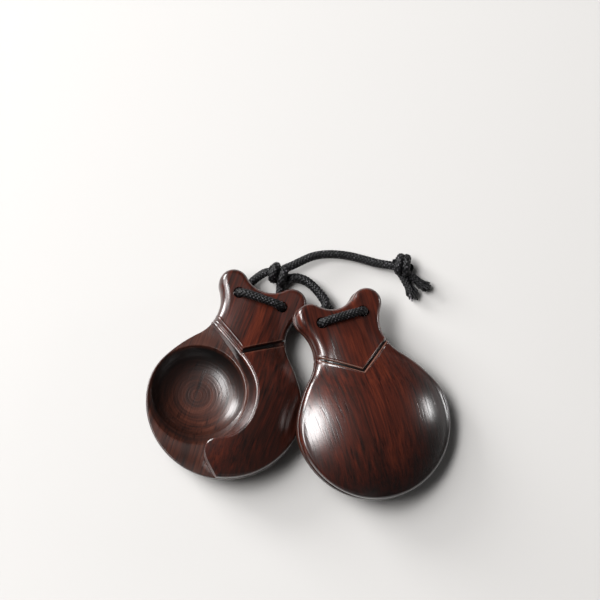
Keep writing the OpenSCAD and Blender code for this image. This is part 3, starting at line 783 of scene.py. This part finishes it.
domeRise = shell["thick"] - shell["rim"]
domeR = (shell["body"] ** 2 + domeRise ** 2) / (2 * domeRise)


def dome(x, y):
    return shell["thick"] - domeR + np.sqrt(np.maximum(domeR ** 2 - x * x - y * y, 1.0))


ridgeSlope = math.atan((dome(0, shell["grooveUp"]) - shell["earThick"])
                       / (shell["earUp"] - shell["grooveUp"]))


def smoothMax(a, b, width):
    near = np.maximum(width - np.abs(a - b), 0) / width
    return np.maximum(a, b) + near * near * width / 4


def eased(t):
    t = np.clip(t, 0, 1)
    return t * t * (3 - 2 * t)


def topHeight(x, y, hand="left"):
    # the carved outer surface over the inner face
    p = shell
    share = np.clip((y + p["body"] + 1) / (p["grooveEndUp"] + p["body"] + 1), 0, 1)
    rim = p["rim"] + (p["earThick"] - p["rim"]) * share
    across = np.sqrt(np.maximum(1 - (x / p["ridge"]) ** 2, 0.01))
    ridge = (p["earThick"] + (p["earUp"] - y) * math.tan(ridgeSlope)
             - p["ridge"] / math.cos(ridgeSlope) * (1 - across))
    ridge = np.where(y > p["grooveUp"] - 4, ridge, -5)
    height = smoothMax(smoothMax(dome(x, y), ridge, p["soft"]), rim, p["soft"] * 0.5)
    off = (y - p["grooveUp"]) * math.cos(armAngle) - np.abs(x) * math.sin(armAngle)
    half, depth = p["groove"][hand]
    bead = p["bead"] * eased(1 - np.abs(np.abs(off) - half - 0.35) / 0.5)
    if hand == "left":
        bead = bead * eased(-x / 1.5)
    return height - depth * eased((1 - np.abs(off) / half) * 1.5) + bead


def innerHeight(y):
    # the inner face, with its relief between the foot and the neck and its bevel at the ears
    p = shell
    foot, neck = -p["body"] + p["footPad"], p["reliefUp"]
    (footRun, footShare), (neckRun, neckShare) = p["reliefEase"]["foot"], p["reliefEase"]["neck"]
    relief = (p["relief"] * eased((y - foot) / footRun + footShare)
              * eased((neck - y) / neckRun + neckShare))
    return relief + np.maximum(y - p["holeUp"], 0) * math.tan(math.radians(p["earBevel"]))


def edgeRadius(x, y):
    # broader at the neck, and broadest on the neck's left side
    foot, body, neck, left = shell["outerEdge"]
    neckSide = eased((-x - 6) / 5) * eased((y - 20) / 9) * eased((54 - y) / 8)
    return foot + body * eased((y + 20) / 30) + neck * eased((y - 24) / 12) + left * neckSide


rows = {
    "groove": [(16.9, 18.9, 9), (18.9, 21.9, 31), (21.9, 24, 9)],   # mm up, and rows between
    "below": 117, "above": 61,            # rows on either side of them
    "first": -15, "last": 45.4,           # mm up the middle line
    "lowPower": 1.15, "highPower": 0.6,   # how unevenly they are spread along it
}


def shellRows():
    # where each row of the mesh meets the outline and the middle line; the rows near the groove
    # run beside it, so that its edges stay crisp
    p = rows
    way = np.array([math.cos(armAngle), math.sin(armAngle)])
    spines = np.concatenate([np.linspace(*stretch)[:-1] for stretch in p["groove"][:-1]]
                            + [np.linspace(*p["groove"][-1])])
    runs = []
    for up in spines:
        side = outline[:, 0] * way[1] - (outline[:, 1] - up) * way[0]
        k = int(np.argmax(side < 0))
        runs.append(outlineRun[k])
    below = np.linspace(0, runs[0], p["below"] + 1)[:-1]
    above = np.linspace(runs[-1], outlineRun[-1], p["above"] + 1)[1:]
    low = p["first"] + (spines[0] - p["first"]) * (below / runs[0]) ** p["lowPower"]
    share = (above - runs[-1]) / (outlineRun[-1] - runs[-1])
    high = spines[-1] + (p["last"] - spines[-1]) * share ** p["highPower"]
    return np.concatenate([below, runs, above]), np.concatenate([low, spines, high])


rowRun, rowSpine = shellRows()
rowPoint, rowNormal = outlineAt(rowRun)
rowNormal[0], rowNormal[-1] = (0, -1), (0, 1)
rowPoint[0, 0] = rowPoint[-1, 0] = 0


def shellBlank(name, hand):
    # one solid shell without bowl or holes, in its own frame, in mm, inner face down
    number = len(rowRun)
    order = list(range(number)) + list(range(number - 2, 0, -1))
    side = np.array([1] * number + [-1] * (number - 2))
    mirror = np.stack([side, np.ones(len(side))], axis=1)
    point, normal = rowPoint[order] * mirror, rowNormal[order] * mirror
    spine = np.stack([np.zeros(len(order)), rowSpine[order]], axis=1)
    radius = edgeRadius(point[:, 0], point[:, 1])
    loops = []

    def addLoop(flat, z):
        loops.append(np.column_stack([flat, z]))

    inset = point - normal * radius[:, None]
    for share in np.linspace(0, 1, shell["columns"] + 1)[1:]:
        flat = spine + (inset - spine) * share
        addLoop(flat, topHeight(flat[:, 0], flat[:, 1], hand))
    for angle in (15, 30, 45, 60, 75, 90):
        a = math.radians(angle)
        flat = point - normal * (radius * (1 - math.sin(a)))[:, None]
        addLoop(flat, topHeight(flat[:, 0], flat[:, 1], hand) - radius * (1 - math.cos(a)))
    low = shell["innerEdge"]
    foot = innerHeight(point[:, 1])
    for angle in (0, 30, 60, 90):
        a = math.radians(angle)
        addLoop(point - normal * low * (1 - math.cos(a)), foot + low * (1 - math.sin(a)))
    inset = point - normal * low
    for share in np.linspace(1, 0, shell["innerColumns"] + 1)[1:-1]:
        flat = spine + (inset - spine) * share
        addLoop(flat, innerHeight(flat[:, 1]))
    count = len(order)
    middle = np.zeros(number)
    topSpine = np.column_stack([middle, rowSpine, topHeight(middle, rowSpine, hand)])
    lowSpine = np.column_stack([middle, rowSpine, innerHeight(rowSpine)])
    points = np.vstack(loops + [topSpine, lowSpine])
    faces = []
    for k in range(len(loops) - 1):
        for n in range(count):
            m = (n + 1) % count
            faces.append(((k + 1) * count + n, (k + 1) * count + m, k * count + m, k * count + n))
    top = len(loops) * count
    last = (len(loops) - 1) * count
    for n in range(count):
        m = (n + 1) % count
        faces.append((n, m, top + order[m], top + order[n]))
        faces.append((last + m, last + n, top + number + order[n], top + number + order[m]))
    return meshObject(name, points, faces)


def lathe(name, profile, centre, sides):
    # a closed solid of revolution about Z, from a profile of (radius, height), bottom to top
    turns = np.linspace(0, 2 * math.pi, sides, endpoint=False)
    points, faces = [], []
    for r, z in profile:
        for t in turns:
            points.append((centre[0] + r * math.cos(t), centre[1] + r * math.sin(t), z))
    for k in range(len(profile) - 1):
        for n in range(sides):
            m = (n + 1) % sides
            faces.append((k * sides + n, k * sides + m, (k + 1) * sides + m, (k + 1) * sides + n))
    points += [(centre[0], centre[1], profile[0][1]), (centre[0], centre[1], profile[-1][1])]
    low, high = len(points) - 2, len(points) - 1
    for n in range(sides):
        m = (n + 1) % sides
        faces.append((low, m, n))
        faces.append((high, (len(profile) - 1) * sides + n, (len(profile) - 1) * sides + m))
    return meshObject(name, points, faces)


def cutAway(target, cutters):
    for cutter in cutters:
        modifier = target.modifiers.new("cut", "BOOLEAN")
        modifier.operation, modifier.solver, modifier.object = "DIFFERENCE", "MANIFOLD", cutter
        settled(target)
        remove(cutter)
    return target


bowl = {
    "depth": 7.4, "power": 3.7, "centred": 20.5, "aside": 19.8, "asideOut": -12.2,   # mm
    "ring": 1.35,        # spacing of the turning marks
    "ringDepth": 0.013,
    "lip": 0.6,         # rounding of the bowl's edge
    "step": (-12.0, -2.2, 20.0, 2.75),  # x, y, radius and depth of the step beside it
}


def stepCutter():
    # a step along the foot side of the bowl that lies aside
    x, y, r, deep = bowl["step"]
    level = shell["relief"]
    profile = [(r + 0.5, shell["below"]), (r + 0.5, level), (r + 0.1, level + 0.15),
               (r - 0.1, level + 0.5), (r - 4, deep), (0.2, deep)]
    return lathe("stepCutter", profile, (x, y), shell["sides"])


def bowlCutter(x, r):
    level, lip, deep = shell["relief"], bowl["lip"], bowl["depth"]
    profile = [(r + lip + 0.3, shell["below"]), (r + lip + 0.3, level - 0.25)]
    for angle in (0, 25, 50, 75):
        a = math.radians(angle)
        profile.append((r + lip * (1 - math.sin(a)), level + lip * (1 - math.cos(a))))
    wall = level + lip
    for share in np.linspace(0.995, 0.01, 100):
        # a turned bowl, flatter in the middle than a ball, with faint marks of the tool
        turn = 2 * math.pi * share * r / bowl["ring"]
        mark = bowl["ringDepth"] * (0.6 * math.cos(turn) + 0.4 * math.cos(1.62 * turn + 1))
        z = wall + (deep - wall) * (1 - share ** bowl["power"]) + mark * min(1, 8 * (1 - share))
        profile.append((share * r, z))
    return lathe("bowlCutter", profile, (x, 0), shell["sides"])


def holeCutters(width=shell["hole"], flare=0.0):
    # both cord holes, with rounded mouths; a flare widens them outwards
    half, more = width / 2, flare / 2
    top = shell["earThick"]
    profile = [(half + 0.5, shell["below"]), (half + 0.45, 0.05), (half + 0.12, 0.35),
               (half, 0.75), (half + more * 0.72, top - 0.4), (half + more + 0.08, top - 0.15),
               (half + more + 0.3, top + 0.08), (half + more + 0.4, top + 3)]
    return [lathe("holeCutter", profile, (side * shell["holeOut"], shell["holeUp"]), 64)
            for side in (-1, 1)]


def intoFrame(obj, place, back, material, body, node):
    # lifts the shell off the middle plane, turns a back shell over and lays it in its place
    mesh = obj.data
    points = np.empty(len(mesh.vertices) * 3, np.float32)
    mesh.vertices.foreach_get("co", points)
    points = points.reshape(-1, 3).astype(float)
    points[:, 2] += shell["seatGap"] / 2
    if back:
        points[:, 2] *= -1
        mesh.flip_normals()
    mesh.vertices.foreach_set("co", placed(points, place).astype(np.float32).ravel())
    mesh.update()
    mesh.materials.clear()
    mesh.materials.append(material)
    mesh.shade_smooth()
    mesh.set_sharp_from_angle(angle=math.radians(shell["sharpFrom"]))
    weigh = obj.modifiers.new("weigh", "WEIGHTED_NORMAL")
    weigh.keep_sharp = True
    settled(obj)
    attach(obj, body)
    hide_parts(node)


rightFront = cutAway(shellBlank("rightFront", "right"),
                     [bowlCutter(0, bowl["centred"])] + holeCutters())
intoFrame(rightFront, rightFrame, False, rightRosewood, "right_front",
          "right_front_shell")
rightBack = cutAway(shellBlank("rightBack", "right"),
                    [bowlCutter(0, bowl["centred"])] + holeCutters())
intoFrame(rightBack, rightFrame, True, rightInside, "right_back",
          "right_back_shell")
leftBack = cutAway(shellBlank("leftBack", "left"), [
    bowlCutter(bowl["asideOut"], bowl["aside"]), stepCutter()] + holeCutters(*shell["swingHole"]))
intoFrame(leftBack, leftFrame, True, leftInside, "left_back",
          "left_back_shell")
print("three whole shells made")

cut = {
    "ledge": 1.1, "ledgeDrop": 0.5,   # mm: a narrow ledge along the cut's upper edge
    # the upper edge from the left arm of the V to the foot: x, y, how far the wall leans out
    # over its foot, mm, and how much of the ledge is left, 0 to 1
    "edge": [(-27, 38.4, 0.5, 1), (-20, 33.7, 0.5, 1), (-15.1, 30.4, 0.5, 1),
             (-11, 27.6, 0.5, 1), (-7.2, 25.0, 0.6, 1), (-3.4, 22.4, 0.8, 1),
             (-0.2, 20.1, 1.1, 1), (3.0, 17.8, 1.5, 1), (6.4, 14.9, 1.9, 1),
             (9.8, 11.0, 2.4, 1), (12.0, 6.9, 3.0, 1), (13.2, 2.6, 3.5, 1),
             (13.6, -1.8, 3.9, 1), (12.9, -7.8, 4.2, 1), (10.2, -13.0, 3.9, 0.9),
             (6.8, -16.3, 2.9, 0.7), (3.2, -18.2, 1.7, 0.5), (0.6, -19.4, 0.8, 0.35),
             (-0.8, -21.0, 0.4, 0.3), (-1.0, -23.0, 0.3, 0.3), (-0.2, -25.2, 0.3, 0.3),
             (1.5, -27.3, 0.3, 0.3), (4.2, -29.7, 0.3, 0.3), (9.0, -33.8, 0.3, 0.3)],
    "closing": [(12, -46), (-50, -46), (-50, 60), (-34, 60)],   # round the wood that goes
}


def sideCutter():
    # a solid whose wall follows the V's left arm, the bowl's edge and the tongue at the foot
    edge = smoothPath([p[:3] for p in cut["edge"]], 0.5)
    at = [np.argmin(np.hypot(*(edge[:, :2] - p[:2]).T)) for p in cut["edge"]]
    left = np.interp(np.arange(len(edge)), at, [p[3] for p in cut["edge"]])
    top, lean = edge[:, :2], edge[:, 2]
    along = np.gradient(top, axis=0)
    along /= np.linalg.norm(along, axis=1)[:, None]
    way = np.column_stack([-along[:, 1], along[:, 0]])   # into the wood that stays
    high = topHeight(top[:, 0], top[:, 1])
    ledge, drop = cut["ledge"] * left, cut["ledgeDrop"] * left
    wall, still = -ledge - lean, 0 * high
    rings = [(wall, still - 1.5), (wall, still), ((wall - ledge) / 2, (high - drop) / 2),
             (-ledge - 0.12 * left, high - drop - 0.3), (-ledge, high - drop - 0.1),
             (-ledge + 0.18 * left, high - drop), (-0.32 * left, high - drop * 0.9),
             (-0.18 * left, high - 0.2 * left), (-0.08 * left, high - 0.06),
             (still + 0.12, high - 0.015), (still + 0.5, high + 0.35), (still + 0.5, still + 20)]
    closing = np.array(cut["closing"], float)
    loops = []
    for out, z in rings:
        flat = np.vstack([top + way * out[:, None], closing])
        loops.append(np.column_stack([
            flat, np.concatenate([z, np.full(len(closing), z.mean())])]))
    count, faces = len(loops[0]), []
    for k in range(len(loops) - 1):
        for n in range(count):
            m = (n + 1) % count
            faces.append((k * count + n, (k + 1) * count + n, (k + 1) * count + m, k * count + m))
    faces.append(tuple(range(count)))
    faces.append(tuple((len(loops) - 1) * count + n for n in reversed(range(count))))
    return meshObject("sideCutter", np.vstack(loops), faces)


leftFront = cutAway(shellBlank("leftFront", "left"), holeCutters() + [sideCutter()])
intoFrame(leftFront, leftFrame, False, leftRosewood, "left_front",
          "left_front_shell")
print("cut-away shell made")


studio = {
    "floor": "#bcbab8",
    "wall": 0.8,         # how bright the room looks
    "world": 0.05,       # how much light it gives
    # each soft box: where it stands, its width and height in metres, how bright its face is,
    # and whether it shows in the polish
    "boxes": {
        "fill": ((-0.75, 0.45, 1.5), (1.1, 1.1), 4.6, False),
        "keyEdge": ((-0.66, 0.06, 1.44), (1.2, 0.8), 3.5, True),
        "keyCore": ((-0.64, 0.06, 1.43), (0.8, 0.44), 15.5, True),
        "between": ((-1.1, 0.5, 1.05), (0.9, 0.5), 6, True),
        "left": ((-1.3, 0.95, 0.66), (0.75, 0.75), 24, True),
        "right": ((1.48, 0.5, 0.36), (0.36, 0.12), 24, True),
        "front": ((0.1, -1.45, 0.8), (1.4, 0.3), 0.4, True),
    },
}


def makeStudio():
    floor = meshObject("floor", [(-3, -3, 0), (3, -3, 0), (3, 3, 0), (-3, 3, 0)], [(0, 1, 2, 3)])
    material, tree = newMaterial("paperMatt")   # uncoated paper: pale and even, with no gloss
    shader = addNode(tree, "ShaderNodeBsdfPrincipled", {}, {
        "Base Color": linear(studio["floor"]), "Roughness": 0.9, "Specular IOR Level": 0.2})
    addNode(tree, "ShaderNodeOutputMaterial", {}, {0: shader})
    floor.data.materials.append(material)
    world = bpy.data.worlds.new("room")
    world.use_nodes = True
    # the room looks pale but gives little light, so that the soft boxes shape the wood
    tree = world.node_tree
    tree.nodes.clear()
    looks, lights = [addNode(tree, "ShaderNodeBackground", {}, {
        "Color": (1, 1, 1, 1), "Strength": studio[key]}) for key in ("wall", "world")]
    ray = addNode(tree, "ShaderNodeLightPath")
    mixed = addNode(tree, "ShaderNodeMixShader", {}, {
        0: ray.outputs["Is Camera Ray"], 1: lights, 2: looks})
    addNode(tree, "ShaderNodeOutputWorld", {}, {0: mixed})
    bpy.context.scene.world = world
    bpy.context.scene.view_settings.view_transform = "Standard"
    for name, (at, size, bright, shows) in studio["boxes"].items():
        data = bpy.data.lights.new(name, "AREA")
        data.shape = "ELLIPSE"
        data.size, data.size_y = size
        data.energy = bright * math.pi ** 2 / 4 * size[0] * size[1]
        made = bpy.data.objects.new(name, data)
        made.location = at
        made.rotation_mode = "QUATERNION"
        made.rotation_quaternion = (-Vector(at)).to_track_quat("-Z", "Y")
        made.visible_glossy = shows
        bpy.context.scene.collection.objects.link(made)


makeStudio()
print("floor and lights made")
